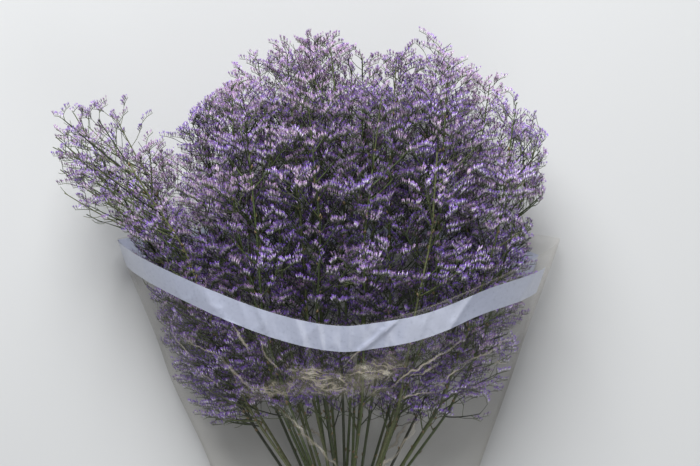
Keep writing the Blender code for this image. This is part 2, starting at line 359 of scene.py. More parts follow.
def sleeve_middle(y):
    """Height of the front film over the middle of the bunch."""
    return FLOOR_GAP + (MIDDLE_RISE + HALF_HEIGHT + SLEEVE_CLEARANCE) * spread(y)


def sleeve_top(side, y):
    """Height of the outside of the front film, with side from -1 to 1 across the sleeve."""
    return sleeve_middle(y) * (1 - min(1.0, abs(side)) ** SLEEVE_SIDE_POWER) ** SLEEVE_TOP_POWER


def front_edge(side):
    """Where the front film ends, from -1 at one side of the sleeve to 1 at the other."""
    return SLEEVE_CORNER_Y - FRONT_EDGE_DIP * (1 - abs(side) ** FRONT_EDGE_POWER)


def back_edge(side):
    """Where the back film ends."""
    return SLEEVE_CORNER_Y + BACK_EDGE_RISE * (1 - side**2)


def clear_of_film(point, radius):
    """Whether a ball lies above the surface and clear of the film all round it."""
    inner = radius + FILM + FILM_GAP
    if point.z < inner:
        return False
    side = max(-1.0, min(1.0, point.x / sleeve_half_width(point.y)))
    if point.y - inner > front_edge(side):
        return True
    for step in range(9):
        angle = math.pi * step / 8
        x = point.x + inner * math.cos(angle)
        z = point.z + inner * math.sin(angle)
        if z > sleeve_top(x / sleeve_half_width(point.y), point.y):
            return False
    return True


def stem_balls(stem):
    """Balls along a stem, as rows of x, y, z, radius, that the other stems' branches keep clear of."""
    places = np.arange(TIE_Y, stem.tip_y + 0.004, 0.005)
    return np.array([(*stem.point(y), STEM_RADIUS) for y in places])


def branch_balls(branch):
    """Balls along a branch: small on its stalk, wide on its flowers."""
    stalk = [(*branch.root.lerp(branch.neck, t / 8), 2 * STALK_RADIUS) for t in range(1, 9)]
    reach = SPIKE_REACH * branch.size
    flowers = [(*branch.neck.lerp(branch.tip, t), reach) for t in (0.25, 0.45, 0.65, 0.85)]
    return np.array([*stalk, *flowers])


def has_room(balls, others):
    """Whether no ball comes near the balls of the other stems."""
    apart = np.linalg.norm(balls[:, None, :3] - others[None, :, :3], axis=2)
    return bool((apart > balls[:, None, 3] + others[None, :, 3] + NODE_GAP).all())


def top_branch(stem, attempt, rng):
    """The flowers at a stem's own tip. Later attempts bend aside."""
    root = stem.point(stem.tip_y)
    bend = Vector((rng.uniform(-1, 1), 0, rng.uniform(-1, 1))) * TIP_BEND * attempt
    heading = (stem.direction(stem.tip_y) + bend).normalized()
    tip = root + heading * TOP_BRANCH_LENGTH
    return Branch(root - heading * STEM_RADIUS, root.lerp(tip, 0.12), tip, rng.uniform(0, math.tau), 1.0)


def side_branch(stem, share, place, attempt, rng):
    """A branch at a share of the flowering length. Later attempts are shorter and turn further aside."""
    y = stem.flowers_y + (stem.tip_y - stem.flowers_y) * share
    root = stem.point(y)
    along = stem.direction(y)
    outward = (stem.outward - along * stem.outward.dot(along)).normalized()
    aside = along.cross(outward)
    freedom = FAN + (1 - FAN) * ease((share - 0.6) / 0.4)
    fan = ((place * GOLDEN_TURN / math.tau + 0.5) % 1.0 - 0.5) * 2
    azimuth = math.pi * fan * freedom + rng.uniform(-0.25, 0.25) * (1 + attempt * 0.7)
    opening = (OPENING + (OPENING_AT_TOP - OPENING) * share) * rng.uniform(0.85, 1.1)
    spoke = outward * math.cos(azimuth) + aside * math.sin(azimuth)
    heading = along * math.cos(opening) + spoke * math.sin(opening)
    full = BRANCH_LENGTH + (TOP_BRANCH_LENGTH - BRANCH_LENGTH) * share
    length = full * (1 - 0.018 * attempt) * rng.uniform(0.9, 1.1)
    neck = root + heading * length * STALK_SHARE
    upturn = (heading + along * UPTURN).normalized()
    tip = neck + upturn * length * (1 - STALK_SHARE)
    return Branch(root, neck, tip, rng.uniform(0, math.tau), rng.uniform(0.88, 1.08))


def grow_branches(stems, rng):
    """Gives each stem its branches in turn, and keeps each one clear of the film and the other stems."""
    balls = [stem_balls(stem) for stem in stems]
    counts = [1 + round((stem.tip_y - stem.flowers_y) / BRANCH_STEP) for stem in stems]
    for rank in range(max(counts)):
        for index, stem in enumerate(stems):
            place = counts[index] - 1 - rank
            if place < 0:
                continue
            others = np.concatenate([each for i, each in enumerate(balls) if i != index])
            for attempt in range(TRIES):
                if rank == 0:
                    branch = top_branch(stem, attempt, rng)
                else:
                    branch = side_branch(stem, place / (counts[index] - 1), place, attempt, rng)
                around = branch_balls(branch)
                in_film = all(clear_of_film(Vector(ball[:3]), ball[3]) for ball in around)
                if in_film and has_room(around, others):
                    stem.branches.append(branch)
                    balls[index] = np.concatenate([balls[index], around])
                    break


def unit(rows):
    """Rows scaled to length 1."""
    return rows / np.maximum(np.linalg.norm(rows, axis=-1, keepdims=True), 1e-12)


def square_to(heading, hint):
    """The part of hint that is square to heading, at length 1."""
    return unit(hint - heading * (hint * heading).sum(-1, keepdims=True))


def spread_array(y):
    """The same as spread, for an array."""
    opening = np.where(y > TIE_Y, SPREAD_ABOVE_TIE, SPREAD_BELOW_TIE)
    width = np.hypot(TIE_SPREAD, opening * (y - TIE_Y))
    return width / (1 + (width / MOST_SPREAD) ** 3) ** (1 / 3)


def side_ease(x, y):
    """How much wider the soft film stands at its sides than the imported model's. For numbers or arrays."""
    rise = np.clip((y + 0.14) / 0.12, 0, 1)
    return np.where(x < 0, SIDE_EASES[0], SIDE_EASES[1]) * rise * rise * (3 - 2 * rise)


def press_in(points):
    """Moves points that would stick out through the film, or sink into the surface, to just inside."""
    x, y, z = points.T.copy()
    half = sleeve_half_width(y) + side_ease(x, y) - FILM_SKIN
    middle = FLOOR_GAP + (MIDDLE_RISE + HALF_HEIGHT + SLEEVE_CLEARANCE) * spread_array(y) - FILM_SKIN
    side = np.clip(x / half, -1, 1)
    centre = 0.3 * middle
    held = np.clip((front_edge(side) + PRESS_FADE - y) / PRESS_FADE, 0, 1) * (y > SLEEVE_FOOT_Y)
    for _ in range(8):
        full = (np.abs(x) / half) ** SLEEVE_SIDE_POWER
        full = full + (np.maximum(z, 0) / middle) ** (1 / SLEEVE_TOP_POWER)
        shrink = np.clip(full, 1, 3) ** (-0.25 * held)
        x = x * shrink
        z = centre + (z - centre) * shrink
    floor = np.where(y < SLEEVE_CORNER_Y + BACK_EDGE_RISE, FLOOR_GAP, 0.0004)
    return np.stack((x, y, np.maximum(z, floor)), axis=1)


def head_share(points, reach=1.0):
    """How far out points lie in the flower head: 0 in its middle, 1 at its outline."""
    away = np.abs(points - HEAD_MIDDLE) / (np.array(HEAD_REACH) * (1, reach, 1))
    for side, trim, (middle, width) in ((1, RIGHT_TRIM, RIGHT_TRIM_Y), (-1, LEFT_TRIM, LEFT_TRIM_Y)):
        trimmed = trim * np.exp(-(((points[:, 1] - middle) / width) ** 2))
        away[:, 0] += np.where(points[:, 0] * side > TRIMMED_X, trimmed / HEAD_REACH[0], 0)
    below = points[:, 1] < HEAD_MIDDLE[1]
    away[below, 1] *= HEAD_REACH[1] * reach / HEAD_DEPTH
    return (away**HEAD_POWER).sum(axis=1) ** (1 / HEAD_POWER)


def fits(points, reach):
    """Whether points lie in the outline of the head or its wings, and inside the film."""
    inside = head_share(points, reach) < 1
    for middle, size in WINGS:
        wing = (((points[:, :2] - middle) / size) ** 2).sum(axis=1) < 1
        inside |= wing & (np.abs(points[:, 2] - HEAD_MIDDLE[2]) < HEAD_REACH[2])
    return inside & (np.linalg.norm(press_in(points) - points, axis=1) < PRESS_MOST)


def outer_share(points):
    """0 for points deep in the flower head, 1 near its outline."""
    return np.clip((head_share(points) - 0.45) / 0.45, 0, 1)


def lines_fit(lines, reach):
    """Which lines fit with all their points."""
    return fits(lines.reshape(-1, 3), reach).reshape(lines.shape[:2]).all(axis=1)


def new_mesh(name, points, faces, slots, values, materials):
    """A mesh with a material slot for each face, and values at each point that its materials read."""
    mesh = bpy.data.meshes.new(name)
    mesh.from_pydata(points, [], faces)
    mesh.polygons.foreach_set("material_index", slots)
    for label, rows in values.items():
        mesh.attributes.new(label, "FLOAT", "POINT").data.foreach_set("value", rows)
    for each in materials:
        mesh.materials.append(each)
    return mesh


def copied(faces, count, step):
    """The faces of so many copies, each with its points a step further on in the list."""
    return (faces[None] + (np.arange(count) * step)[:, None, None]).reshape(-1, faces.shape[1])


class Growth:
    """Collects one stem's tubes and florets, and turns them into one mesh."""

    def __init__(self):
        self.points = []
        self.faces = []
        self.slots = []
        # Each point's tone value: a random tone with painted shade multiplied in, read by the stalk, calyx
        # and petal colours
        self.values = {"tone": [], "kind": [], "reach": []}
        self.smooth = []
        self.count = 0

    def add(self, points, faces, slots, smooth, **values):
        """Takes in points and faces. Slots and values are for all of them or for each one."""
        self.points.append(points)
        self.faces.append(faces + self.count)
        self.slots.append(np.broadcast_to(slots, len(faces)))
        for label, rows in self.values.items():
            rows.append(np.broadcast_to(values[label], len(points)))
        self.smooth.append(np.full(len(faces), smooth))
        self.count += len(points)

    def tubes(self, lines, radii, sides, tones, caps=False, ribs=0.0):
        """Stalks along lines, an array of (stalks, points, 3), with a radius at each point."""
        stalks, length = lines.shape[:2]
        heading = unit(np.gradient(lines, axis=1))
        hint = np.broadcast_to(np.array((0.31, 0.17, 0.93)), heading.shape)
        first = square_to(heading, hint)
        second = np.cross(heading, first)
        turn = np.arange(sides) * math.tau / sides
        ring = first[:, :, None] * np.cos(turn)[:, None] + second[:, :, None] * np.sin(turn)[:, None]
        ring *= np.where(np.arange(sides) % 2, 1 - ribs, 1 + ribs)[:, None]
        points = (lines[:, :, None] + ring * radii[:, :, None, None]).reshape(-1, 3)
        here = np.arange(sides)
        there = (here + 1) % sides
        quads = np.stack((here, there, there + sides, here + sides), axis=1)
        quads = copied(copied(quads, length - 1, sides), stalks, length * sides)
        faces = [quads[:, (0, 1, 2)], quads[:, (0, 2, 3)]]
        if caps:
            fan = np.stack((np.zeros(sides - 2, int), here[2:], here[1:-1]), axis=1)
            last = fan[:, ::-1] + (length - 1) * sides
            faces += [copied(fan, stalks, length * sides), copied(last, stalks, length * sides)]
        shade = np.repeat(np.broadcast_to(tones, stalks), length * sides)
        self.add(points, np.concatenate(faces), 0, True, tone=shade, kind=0.0, reach=0.0)

    def florets(self, places, headings, sizes, tones, kinds, turns):
        """A papery calyx and a crown of petals at each place."""
        first = square_to(headings, np.broadcast_to(np.array((0.42, -0.21, 0.88)), headings.shape))
        second = np.cross(headings, first)
        cos, sin = np.cos(turns)[:, None], np.sin(turns)[:, None]
        first, second = first * cos + second * sin, second * cos - first * sin
        basis = np.stack((first, second, headings), axis=1) * sizes[:, None, None]
        points = np.einsum("tk,nkc->ntc", FLORET_POINTS, basis) + places[:, None]
        self.add(
            points.reshape(-1, 3),
            copied(FLORET_FACES, len(places), len(FLORET_POINTS)),
            np.tile(FLORET_SLOTS, len(places)),
            False,
            tone=np.repeat(tones, len(FLORET_POINTS)),
            kind=np.repeat(kinds, len(FLORET_POINTS)),
            reach=np.tile(FLORET_REACH, len(places)),
        )

    def bracts(self, places, headings, outward, lengths):
        """A small papery scale at each place where a branch leaves the stem."""
        aside = np.cross(headings, outward)
        foot = places - headings * 0.0006
        left = places + aside * BRACT_WIDTH + headings * 0.0012 + outward * 0.0004
        right = places - aside * BRACT_WIDTH + headings * 0.0012 + outward * 0.0004
        keel = places + headings * lengths[:, None] * 0.5 + outward * 0.0024
        tip = places + headings * lengths[:, None] + outward * 0.0020
        points = np.stack((foot, left, right, keel, tip), axis=1).reshape(-1, 3)
        faces = np.array(((0, 3, 1), (0, 2, 3), (1, 3, 4), (3, 2, 4)))
        faces = copied(faces, len(places), 5)
        reach = np.tile((0.1, 0.3, 0.3, 0.5, 1.0), len(places))
        self.add(points, faces, 3, False, tone=0.5, kind=0.0, reach=reach)

    def mesh(self, name, materials):
        """The finished mesh."""
        values = {label: np.concatenate(rows).astype(np.float32) for label, rows in self.values.items()}
        points = press_in(np.concatenate(self.points))
        slots = np.concatenate(self.slots).astype(np.int32)
        mesh = new_mesh(name, points, np.concatenate(self.faces), slots, values, materials)
        mesh.polygons.foreach_set("use_smooth", np.concatenate(self.smooth))
        mesh.update()
        return mesh


def floret_shape():
    """Points, faces, slots and shares of the length of one floret that stands on the origin along +Z."""
    turn = np.arange(4) * math.tau / 4
    circle = np.stack((np.cos(turn), np.sin(turn), np.ones(4)), axis=1)
    mouth = circle * (CALYX_RADIUS, CALYX_RADIUS, CALYX_SHARE * FLORET_LENGTH)
    turn = turn + math.tau / 8
    circle = np.stack((np.cos(turn), np.sin(turn), np.ones(4)), axis=1)
    petals = circle * (PETAL_RADIUS, PETAL_RADIUS, FLORET_LENGTH)
    petals[::2, 2] *= 0.92
    points = np.concatenate((np.zeros((1, 3)), mouth, petals))
    here = np.arange(4) + 1
    there = here % 4 + 1
    cup = np.stack((np.zeros(4, int), there, here), axis=1)
    crown = np.stack((here, there, here + 4), axis=1)
    reach = np.repeat((0.0, CALYX_SHARE, 1.0), (1, 4, 4))
    return points, np.concatenate((cup, crown)), np.repeat((1, 2), 4), reach


FLORET_POINTS, FLORET_FACES, FLORET_SLOTS, FLORET_REACH = floret_shape()


def curve_points(start, heading, ending, length, count):
    """Lines that leave start along heading and bend to ending, for arrays of all four."""
    t = np.linspace(0, 1, count)[None, :, None]
    ahead = heading[:, None] * (t - t * t / 2) + ending[:, None] * (t * t / 2)
    return start[:, None] + ahead * length[:, None, None]


def curled(starts, headings, rise, lengths, draw):
    """Spikes that leave along their headings and bend level, away from the way the stem rises."""
    level = headings - rise * (headings @ rise)[:, None]
    stray = draw.normal(scale=0.12, size=level.shape)
    endings = unit(headings * (1 - SPIKE_FLATNESS) + unit(level) * SPIKE_FLATNESS + stray)
    return curve_points(starts, headings, endings, lengths, 3)


def clumping(points):
    """A smooth field, from about -0.6 to 0.6, that is low in the gaps between clumps of flowers."""
    stretched = points * GAP_FREQUENCY * (1.0, 1.25, 1.0)
    return np.array([solid_noise.noise(Vector(point)) for point in stretched])


def fitted_axis(branch, reach):
    """The curved axis of a branch and its heading, cut back until the branch lies in the head's outline."""
    root, neck, tip = (np.array(point) for point in (branch.root, branch.neck, branch.tip))
    ways = (tip - root) * np.linspace(0.25, 1, 4)[:, None]
    share = next((share for share in SHORTER if fits(root + ways * share, reach).all()), 0)
    neck, tip = root + (neck - root) * share, root + (tip - root) * share
    t = np.linspace(0, 1, AXIS_POINTS)[:, None]
    bend = neck + (neck - root) * 0.15
    return (1 - t) ** 2 * root + 2 * t * (1 - t) * bend + t**2 * tip, unit(tip - neck)


def fine_branchlets(branch, axis, heading, rise, reach, count, draw):
    """Branchlets that wind up the axis of a branch and bend upwards. Those that don't fit are left out."""
    places = np.linspace(FIRST_BRANCHLET, LAST_BRANCHLET, count) + draw.uniform(-0.03, 0.03, count)
    steps = np.arange(AXIS_POINTS)
    starts = np.stack([np.interp(places * (AXIS_POINTS - 1), steps, axis[:, k]) for k in range(3)], axis=1)
    turn = branch.turn + np.arange(count) * GOLDEN_TURN + draw.uniform(-0.3, 0.3, count)
    side = square_to(heading, np.array((0.2, 0.1, 0.97)))
    other = np.cross(heading, side)
    spoke = side * np.cos(turn)[:, None] + other * np.sin(turn)[:, None]
    opening = np.radians(draw.uniform(46, 70, count))[:, None]
    out = heading * np.cos(opening) + spoke * np.sin(opening)
    ending = unit(out + rise * draw.uniform(0.5, 1.3, (count, 1)))
    lengths = BRANCHLET_LENGTH * branch.size * (1.25 - 0.80 * places) * draw.uniform(0.8, 1.2, count)
    for share in SHORTER:
        branchlets = curve_points(starts, out, ending, lengths, 4)
        inside = lines_fit(branchlets, reach)
        lengths = np.where(inside, lengths, lengths * share)
    return branchlets[inside]


def fine_spikes(axis, heading, branchlets, rise, reach, draw):
    """Spikes on the tips and along the branchlets, thinned out deep inside, in gaps and on the wing."""
    starts = [axis[-1:]]
    headings = [heading[None]]
    for rank, place in enumerate(SPIKE_PLACES):
        whole = place * 3
        low = min(int(whole), 2)
        step = branchlets[:, low + 1] - branchlets[:, low]
        along = unit(step)
        flat = square_to(along, np.cross(along, rise + 0.01))
        swing = (-1) ** rank * draw.uniform(0.3, 0.9, (len(branchlets), 1))
        starts.append(branchlets[:, low] + step * (whole - low))
        headings.append(unit(along + flat * swing))
    starts = np.concatenate(starts)
    lengths = SPIKE_LENGTH * draw.uniform(0.75, 1.25, len(starts))
    spikes = curled(starts, np.concatenate(headings), rise, lengths, draw)
    tips = spikes[:, -1]
    chance = np.where(head_share(tips) < INNER_SHARE, INNER_KEPT, 1.0)
    gap = (clumping(tips) < GAP_LEVEL) & (tips[:, 0] > GAP_X)
    chance = chance * np.where(gap, GAP_KEPT, 1.0)
    chance = chance * np.where(tips[:, 0] < WING_X, WING_SPIKES_KEPT, 1.0)
    kept = draw.uniform(size=len(spikes)) < chance
    return spikes[kept & lines_fit(spikes, reach)]


def spike_florets(spikes, rise, draw):
    """Places and headings of the florets, which stand in two ranks on the upper side of each spike."""
    count = len(spikes)
    share = (np.arange(FLORETS) + 0.6) / FLORETS
    low = np.minimum((share * 2).astype(int), 1)
    part = (share * 2 - low)[None, :, None]
    start = spikes[:, low]
    step = spikes[:, low + 1] - start
    along = unit(step)
    outward = unit((start - HEAD_MIDDLE) * (1, 0, 1))
    upper = square_to(along, np.broadcast_to(rise, along.shape) + outward * 0.45)
    cross = np.cross(along, upper)
    rank = np.where(np.arange(FLORETS) % 2, 1.0, -1.0)[None, :, None]
    lean = rank * 0.34 + draw.normal(scale=0.16, size=(count, FLORETS, 1))
    forward = 0.10 + 0.50 * share[None, :, None] + draw.normal(scale=0.12, size=(count, FLORETS, 1))
    headings = unit(upper + cross * lean + along * forward + rise * 0.60)
    places = start + step * part
    return places.reshape(-1, 3), headings.reshape(-1, 3)


def smoothed(values, kernel):
    """Values averaged with their neighbours, with the ends held."""
    held = len(kernel) // 2
    padded = np.concatenate((np.full(held, values[0]), values, np.full(held, values[-1])))
    return np.convolve(padded, kernel / kernel.sum(), "valid")


def smooth_line(line, count):
    """A stem's line through the same points, rounded where it bends."""
    y = np.linspace(line[0, 1], line[-1, 1], count)
    fine = np.linspace(line[0, 1], line[-1, 1], count * 4)
    rows = []
    for axis in (0, 2):
        values = np.interp(fine, line[:, 1], line[:, axis])
        rows.append(np.interp(y, fine, smoothed(values, np.hanning(15))))
    return np.stack((rows[0], y, rows[1]), axis=1)


def floret_kinds(branch, count, draw):
    """How open the florets of so many spikes are: less so near the top, and much alike along a spike."""
    openness = draw.uniform(0, 1) * 0.6 + 0.55 * (1 - (branch.tip.y - FIRST_FLOWERS_Y) / 0.37)
    kinds = np.repeat(openness + draw.normal(scale=0.16, size=count), FLORETS)
    return kinds + draw.normal(scale=0.12, size=len(kinds))


def floret_tones(places, root, rise, draw):
    """How pale the florets are: a random tone, times painted shade that darkens them deep in the head, low
    on their branch and at the left.
    """
    count = len(places)
    tones = np.repeat(draw.uniform(0, 0.35, count // FLORETS), FLORETS) + draw.uniform(0, 0.65, count)
    height = (places - root) @ rise
    # Painted shade: darker deep in the head, lower on the branch, and on the left side
    tones = tones * (0.16 + 0.84 * outer_share(places))
    tones = tones * (0.34 + np.clip(height / height.max(), 0, 1))
    tones = tones * np.where(places[:, 0] < SHADED_LEFT_X, SHADED_LEFT, 1.0)
    return np.clip(tones * draw.uniform(0.75, 1.5), 0, 1)


def add_branch(growth, stem, branch, reach, branchlet_count, draw):
    """Adds the stalks and florets of one branch. One that fits at no length is left out."""
    rise = unit(np.array(stem.direction(branch.tip.y) + Vector((0, 0.6, 0))))
    axis, heading = fitted_axis(branch, reach)
    branchlets = fine_branchlets(branch, axis, heading, rise, reach, branchlet_count, draw)
    spikes = fine_spikes(axis, heading, branchlets, rise, reach, draw)
    if np.ptp(axis, axis=0).max() < 0.001:
        return
    # Painted shade: stalks whose branch ends deep in the head get a darker colour
    shade = 0.15 + 0.85 * float(outer_share(axis[-1:])[0])
    axis_radii = np.linspace(STALK_RADIUS * min(1.0, branch.size), 0.0005, len(axis))
    growth.tubes(axis[None], axis_radii[None], 4, draw.uniform(0, 1) * shade)
    if not len(spikes):
        return
    for lines, ends in ((branchlets, BRANCHLET_RADII), (spikes, SPIKE_RADII)):
        if len(lines):
            radii = np.broadcast_to(np.linspace(*ends, lines.shape[1]), lines.shape[:2])
            growth.tubes(lines, radii, 3, draw.uniform(0, 1, len(lines)) * shade)
    places, headings = spike_florets(spikes, rise, draw)
    kinds = floret_kinds(branch, len(spikes), draw)
    tones = floret_tones(places, axis[0], rise, draw)
    sizes = draw.uniform(0.75, 1.15, len(places))
    growth.florets(places, headings, sizes, tones, kinds, draw.uniform(0, math.tau, len(places)))


def twigs(stem, draw):
    """Short side branches between the long ones. They also fill the left side, where the stems lean."""
    made = []
    crowd = ease((-stem.point(0).x / sleeve_half_width(0) - 0.42) / 0.25)
    step = TWIG_STEP * (1 - CROWDED_STEP * crowd)
    places = np.arange(stem.flowers_y - TWIG_START, stem.tip_y - 0.006, step)
    for place, y in enumerate(places):
        along = np.array(stem.direction(y))
        side = square_to(along, np.array(stem.outward.lerp(Vector((-1, 0, 0)), crowd)))
        other = np.cross(along, side)
        turn = ((place * GOLDEN_TURN / math.tau) % 1.0 - 0.5) * math.tau * 0.85 + draw.uniform(-0.3, 0.3)
        turn *= 1 - 0.5 * crowd
        opening = math.radians(draw.uniform(38, 62) + (8 if y < 0.05 else -8) * crowd)
        spoke = side * math.cos(turn) + other * math.sin(turn)
        heading = along * math.cos(opening) + spoke * math.sin(opening)
        side_share = abs(stem.point(y).x) / sleeve_half_width(y)
        length = TWIG_LENGTH * draw.uniform(0.75, 1.2) * (1 + 0.7 * ease((side_share - 0.55) / 0.3))
        length *= 1 + 0.35 * crowd * ease((y - 0.08) / 0.06)
        root = stem.point(y)
        neck = root + Vector(heading * length * 0.3)
        tip = root + Vector(heading * length * 0.8 + along * length * 0.25)
        if tip.x > WING_X or tip.y < WING_Y or draw.uniform() < WING_TWIGS_KEPT:
            made.append(Branch(root, neck, tip, draw.uniform(0, math.tau), TWIG_SIZE))
    return made


def new_object(name, data):
    """A new object in the scene."""
    made = bpy.data.objects.new(name, data)
    bpy.context.scene.collection.objects.link(made)
    return made


def fine_spray(rank, stem, draw, materials):
    """One whole stem with its sprays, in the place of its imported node."""
    growth = Growth()
    line = smooth_line(stem.line, STEM_POINTS)
    radii = np.linspace(STEM_RADIUS, STEM_TIP_RADIUS, STEM_POINTS)
    growth.tubes(line[None], radii[None], 10, draw.uniform(0, 1), caps=True, ribs=0.09)
    reach = draw.choice(STEM_REACHES)
    short = twigs(stem, draw)
    for branch in stem.branches:
        count = BRANCHLETS if branch.tip.x > WING_X else WING_BRANCHLETS
        add_branch(growth, stem, branch, reach, count, draw)
    for twig in short:
        add_branch(growth, stem, twig, reach, TWIG_BRANCHLETS, draw)
    below = np.arange(SLEEVE_FOOT_Y, stem.flowers_y, BRACT_STEP) + draw.uniform(0, 0.02)
    roots = [branch.root for branch in (*stem.branches, *short)] + [stem.point(y) for y in below]
    places = np.array(roots)
    headings = np.array([stem.direction(place[1]) for place in places])
    turned = square_to(headings, draw.normal(size=headings.shape))
    lengths = BRACT_LENGTH * draw.uniform(0.7, 1.2, len(places))
    growth.bracts(places + turned * STEM_TIP_RADIUS, headings, turned, lengths)
    name = f"spray_{rank:02d}"
    made = new_object(name, growth.mesh(name, materials))
    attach(made, "root")
    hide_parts(f"statice_stem_{rank:02d}")
    return made


def principled(name, roughness):
    """A new material with its node tree and its Principled shader."""
    made = bpy.data.materials.new(name)
    made.use_nodes = True
    shader = made.node_tree.nodes["Principled BSDF"]
    shader.inputs["Roughness"].default_value = roughness
    return made, made.node_tree, shader


def fill(tree, socket, value):
    """Links an input to a socket, or sets it to a constant."""
    if isinstance(value, bpy.types.NodeSocket):
        tree.links.new(value, socket)
    else:
        socket.default_value = value


def node(tree, kind, **values):
    """A new shader node with these inputs. Their names have _ for a space."""
    made = tree.nodes.new(f"ShaderNode{kind}")
    for name, value in values.items():
        fill(tree, made.inputs[name.replace("_", " ")], value)
    return made


def combined(tree, operation, *values, kind="Math"):
    """Sockets and constants joined by a Math or a VectorMath node."""
    made = node(tree, kind)
    made.operation = operation
    for socket, value in zip(made.inputs, values):
        fill(tree, socket, value)
    return made.outputs[0]


def mixed(tree, share, first, second, blend="MIX"):
    """A mix of two colours. Inputs 0, 6 and 7 are its share and its colours, and output 2 its result."""
    made = node(tree, "Mix")
    made.data_type = "RGBA"
    made.blend_type = blend
    for place, value in ((0, share), (6, first), (7, second)):
        fill(tree, made.inputs[place], value)
    return made.outputs[2]


def ramp(tree, value, stops):
    """A socket's value as a colour, by stops of a place with a colour or a grey."""
    made = node(tree, "ValToRGB", Fac=value)
    elements = made.color_ramp.elements
    while len(elements) < len(stops):
        elements.new(0.5)
    for element, (place, *colour) in zip(elements, stops):
        element.position = place
        element.color = (*(colour if len(colour) == 3 else colour * 3), 1.0)
    return made.outputs["Color"]


def attribute(tree, name):
    """A value that the mesh holds at each point."""
    made = node(tree, "Attribute")
    made.attribute_name = name
    return made.outputs["Fac"]


def noise(tree, scale, detail=3.0):
    """Noise in the object's own coordinates, so that it stays on the surface."""
    place = node(tree, "TexCoord").outputs["Object"]
    return node(tree, "TexNoise", Vector=place, Scale=scale, Detail=detail).outputs["Fac"]


def relief(tree, shaders, scale, depth, strength, detail=3.0):
    """Fine bumps in the surface, for one or more shaders."""
    bump = node(tree, "Bump", Strength=strength, Distance=depth, Height=noise(tree, scale, detail))
    for shader in shaders:
        tree.links.new(bump.outputs["Normal"], shader.inputs["Normal"])


def stem_green():
    """Ribbed stalks: fresh to olive green, mottled, and browner on some; near black where painted shade
    lowers their tone deep in the head.
    """
    made, tree, shader = principled("stem green", 0.55)
    # Painted shade: a low tone, given to stalks deep in the head, turns them near black
    stops = ((0.0, 0.014, 0.020, 0.008), (0.5, 0.092, 0.135, 0.042), (1.0, 0.170, 0.190, 0.085))
    tones = ramp(tree, attribute(tree, "tone"), stops)
    mottle = ramp(tree, noise(tree, 420.0), ((0.35, 0.60, 0.58, 0.55), (0.7, 1.0)))
    tree.links.new(mixed(tree, 1.0, tones, mottle, "MULTIPLY"), shader.inputs["Base Color"])
    relief(tree, (shader,), 900.0, 0.0003, 0.35)
    return made


def dry_bract():
    """Thin brown scales with paler tips."""
    made, tree, shader = principled("dry bract", 0.7)
    stops = ((0.1, 0.15, 0.12, 0.055), (0.6, 0.27, 0.19, 0.10), (1.0, 0.42, 0.34, 0.22))
    tones = ramp(tree, attribute(tree, "reach"), stops)
    fleck = ramp(tree, noise(tree, 700.0), ((0.3, 0.7), (0.7, 1.1)))
    tree.links.new(mixed(tree, 1.0, tones, fleck, "MULTIPLY"), shader.inputs["Base Color"])
    return made


def papery_calyx():
    """Papery cups: dark green at the foot, pale lilac above, with painted shade and light from their tone:
    darker deep in the head, low on their branch and at the left.
    """
    made, tree, shader = principled("papery calyx", 0.7)
    stops = ((0.15, 0.58, 0.49, 0.58), (0.6, 0.60, 0.56, 0.66), (1.0, 0.64, 0.60, 0.77))
    pale = ramp(tree, attribute(tree, "kind"), stops)
    upper = ramp(tree, attribute(tree, "reach"), ((0.06, 0.0), (0.46, 1.0)))
    colour = mixed(tree, upper, (0.085, 0.105, 0.045, 1.0), pale)
    # Painted shade and light: the tone scales the colour from near black to brighter than its own
    stops = ((0.0, 0.06, 0.066, 0.05), (0.3, 0.52, 0.52, 0.50), (0.8, 1.45))
    light = ramp(tree, attribute(tree, "tone"), stops)
    tree.links.new(mixed(tree, 1.0, colour, light, "MULTIPLY"), shader.inputs["Base Color"])
    return made


def petals():
    """The petals: violet where the floret is open, dusty mauve where it has closed, deeper where painted
    shade lowers their tone and paler where it is high.
    """
    made, tree, shader = principled("petals", 0.6)
    stops = ((0.2, 0.13, 0.062, 0.16), (0.5, 0.12, 0.050, 0.25), (0.9, 0.10, 0.040, 0.34))
    deep = ramp(tree, attribute(tree, "kind"), stops)
    stops = ((0.2, 0.72, 0.49, 0.80), (0.5, 0.60, 0.38, 0.90), (0.9, 0.49, 0.29, 0.98))
    pale = ramp(tree, attribute(tree, "kind"), stops)
    # Painted shade: a low tone picks the deep colours, a high tone the pale ones
    colour = mixed(tree, attribute(tree, "tone"), deep, pale)
    tip = ramp(tree, attribute(tree, "reach"), ((0.62, 0.80), (1.0, 1.20)))
    tree.links.new(mixed(tree, 1.0, colour, tip, "MULTIPLY"), shader.inputs["Base Color"])
    return made


def blended(tree, share, first, second):
    """A blend of the shaders of two nodes."""
    made = node(tree, "MixShader", Fac=share)
    tree.links.new(first.outputs[0], made.inputs[1])
    tree.links.new(second.outputs[0], made.inputs[2])
    return made


def film_shader(tree, shader, haze, rim):
    """Blends what is seen through a sheet with its milky surface, and lays its gloss over both."""
    clear = node(tree, "BsdfTransparent", Color=(0.985, 0.98, 0.97, 1.0))
    glance = node(tree, "LayerWeight", Blend=0.5).outputs["Facing"]
    edge = node(tree, "MapRange", Value=glance, From_Min=0.45, To_Max=rim).outputs["Result"]
    total = combined(tree, "MINIMUM", combined(tree, "ADD", edge, haze), 1.0)
    body = blended(tree, total, clear, shader)
    gloss = node(tree, "BsdfGlossy", Roughness=0.14)
    shine = combined(tree, "MULTIPLY", combined(tree, "POWER", glance, 4.0), 0.24)
    skin = blended(tree, combined(tree, "ADD", shine, 0.02), body, gloss)
    tree.links.new(skin.outputs["Shader"], tree.nodes["Material Output"].inputs["Surface"])
    return gloss


def wavering(tree, scale, amount):
    """The object's own coordinates, shifted a little this way and that."""
    place = node(tree, "TexCoord").outputs["Object"]
    shift = node(tree, "TexNoise", Vector=place, Scale=scale).outputs["Color"]
    centred = combined(tree, "SUBTRACT", shift, (0.5, 0.5, 0.5), kind="VectorMath")
    return combined(tree, "MULTIPLY_ADD", centred, (amount, amount, 0.0), place, kind="VectorMath")


